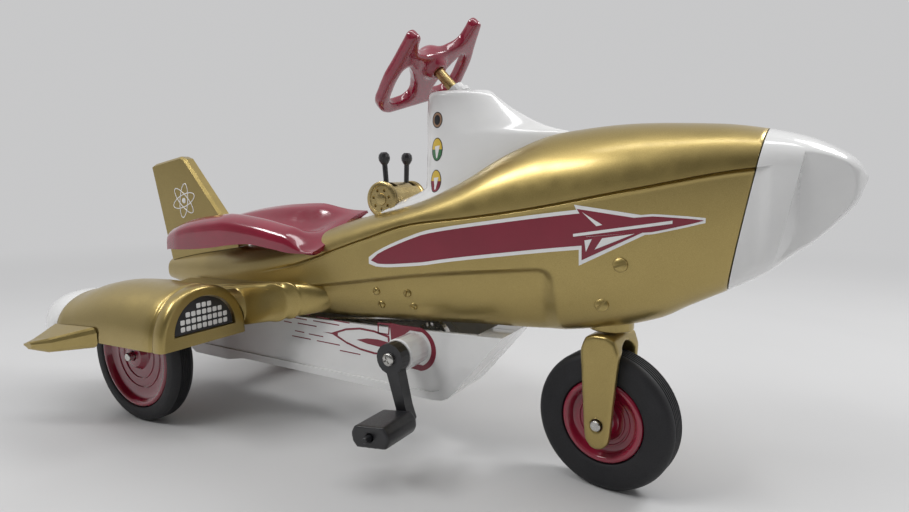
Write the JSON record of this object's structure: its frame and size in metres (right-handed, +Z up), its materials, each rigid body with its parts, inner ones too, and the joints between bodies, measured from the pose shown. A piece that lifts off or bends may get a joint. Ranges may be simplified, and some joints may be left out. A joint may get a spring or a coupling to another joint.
{
  "type": "pedal car",
  "caption": "Die-cast display replica of a missile-shaped three-wheel pedal car, with steering, cranks, chain drive, rear pods and a yoke wheel.",
  "frame": {"origin": "on the floor under the middle of the bounding box", "axes": "+X towards the nose, +Y to the driver's left, +Z up"},
  "size_m": [0.3536, 0.169, 0.1834],
  "materials": {
    "gold_paint": "satin metallic gold lacquer",
    "white_enamel": "gloss white enamel",
    "crimson_enamel": "gloss crimson enamel",
    "black_rubber": "matt rubber with fine grooves",
    "black_satin": "satin black paint",
    "brass": "brushed brass",
    "bright_steel": "plated steel",
    "white_bush_plastic": "moulded plastic"
  },
  "bodies": {
    "body": {"fuselage": "gold_paint", "nose_cone": "white_enamel", "cowl": "white_enamel", "column_collar": "white_enamel", "control_drum": "brass", "drum_cap_right": "brass", "drum_cap_left": "brass", "seat": "crimson_enamel", "tail_fin": "gold_paint", "fork_bushing": "gold_paint", "body_screw_right_1": "gold_paint", "body_screw_right_2": "gold_paint", "body_screw_left_1": "gold_paint", "body_screw_left_2": "gold_paint", "pod_right": "gold_paint", "pod_left": "gold_paint", "pod_grille_right": "black_satin", "pod_grille_left": "black_satin", "tail_cap_right": "white_enamel", "tail_cap_left": "white_enamel", "winglet_right": "gold_paint", "winglet_left": "gold_paint", "wing_right": "gold_paint", "wing_left": "gold_paint", "belly_housing_right": "white_enamel", "belly_housing_left": "white_enamel", "crank_bush_right": "white_bush_plastic", "crank_bush_left": "white_bush_plastic", "axle_bush_right": "white_bush_plastic", "axle_bush_left": "white_bush_plastic", "chain": "bright_steel"},
    "fork": {"front_fork": "gold_paint", "fork_stem": "bright_steel", "steering_arm": "bright_steel", "stem_clip": "bright_steel", "front_axle": "bright_steel"},
    "front_wheel": {"front_tyre": "black_rubber", "front_rim": "crimson_enamel"},
    "steering": {"steering_column": "brass", "pitman_arm": "bright_steel", "steering_wheel": "crimson_enamel"},
    "crank": {"crank_axle": "bright_steel", "drive_sprocket": "bright_steel", "crank_arm_right": "black_satin", "crank_arm_left": "black_satin", "crank_screw_right": "bright_steel", "crank_screw_left": "bright_steel", "pedal_pin_right": "black_satin", "pedal_pin_left": "black_satin"},
    "pedal_right_body": {"pedal_right": "black_satin"},
    "pedal_left_body": {"pedal_left": "black_satin"},
    "rear_axle_set": {"rear_axle": "bright_steel", "rear_sprocket": "bright_steel", "rear_rim_right": "crimson_enamel", "rear_tyre_right": "black_rubber"},
    "rear_wheel_left": {"rear_rim_left": "crimson_enamel", "rear_tyre_left": "black_rubber"},
    "lever_right": {"control_lever_right": "black_satin"},
    "lever_left": {"control_lever_left": "black_satin"}
  },
  "joints": [
    {"name": "steering_turn", "type": "hinge", "parent": "body", "child": "steering", "pos_m": [0.0812, 0, 0.1036], "axis": [-0.6947, 0, 0.7193], "range_deg": [-25.6, 74.3]},
    {"name": "fork_turn", "type": "hinge", "parent": "body", "child": "fork", "pos_m": [0.101, 0, 0.06], "axis": [0, 0, 1], "range_deg": [-7.7, 22.3]},
    {"name": "front_wheel_spin", "type": "hinge", "parent": "fork", "child": "front_wheel", "pos_m": [0.101, 0, 0.027], "axis": [0.1271, 0.9919, 0], "continuous": true},
    {"name": "crank_turn", "type": "hinge", "parent": "body", "child": "crank", "pos_m": [0.0216, 0, 0.0459], "axis": [0, 1, 0], "continuous": true},
    {"name": "pedal_right_swivel", "type": "hinge", "parent": "crank", "child": "pedal_right_body", "pos_m": [0.02781, -0.044, 0.02272], "axis": [0, 1, 0], "continuous": true},
    {"name": "pedal_left_swivel", "type": "hinge", "parent": "crank", "child": "pedal_left_body", "pos_m": [0.01539, 0.044, 0.06908], "axis": [0, 1, 0], "continuous": true},
    {"name": "rear_axle_turn", "type": "hinge", "parent": "body", "child": "rear_axle_set", "pos_m": [-0.1134, 0, 0.0325], "axis": [0, 1, 0], "continuous": true},
    {"name": "rear_wheel_left_spin", "type": "hinge", "parent": "rear_axle_set", "child": "rear_wheel_left", "pos_m": [-0.1134, 0.0502, 0.0325], "axis": [0, 1, 0], "continuous": true},
    {"name": "lever_right_tilt", "type": "hinge", "parent": "body", "child": "lever_right", "pos_m": [0.0036, -0.0072, 0.1095], "axis": [0, 1, 0], "range_deg": [-15, 25]},
    {"name": "lever_left_tilt", "type": "hinge", "parent": "body", "child": "lever_left", "pos_m": [0.0036, 0.007, 0.1095], "axis": [0, 1, 0], "range_deg": [-22, 18]}
  ],
  "couplings": [
    {"joint": "fork_turn", "follows": "steering_turn", "ratio": 0.3},
    {"joint": "rear_axle_turn", "follows": "crank_turn", "ratio": 1.5}
  ]
}
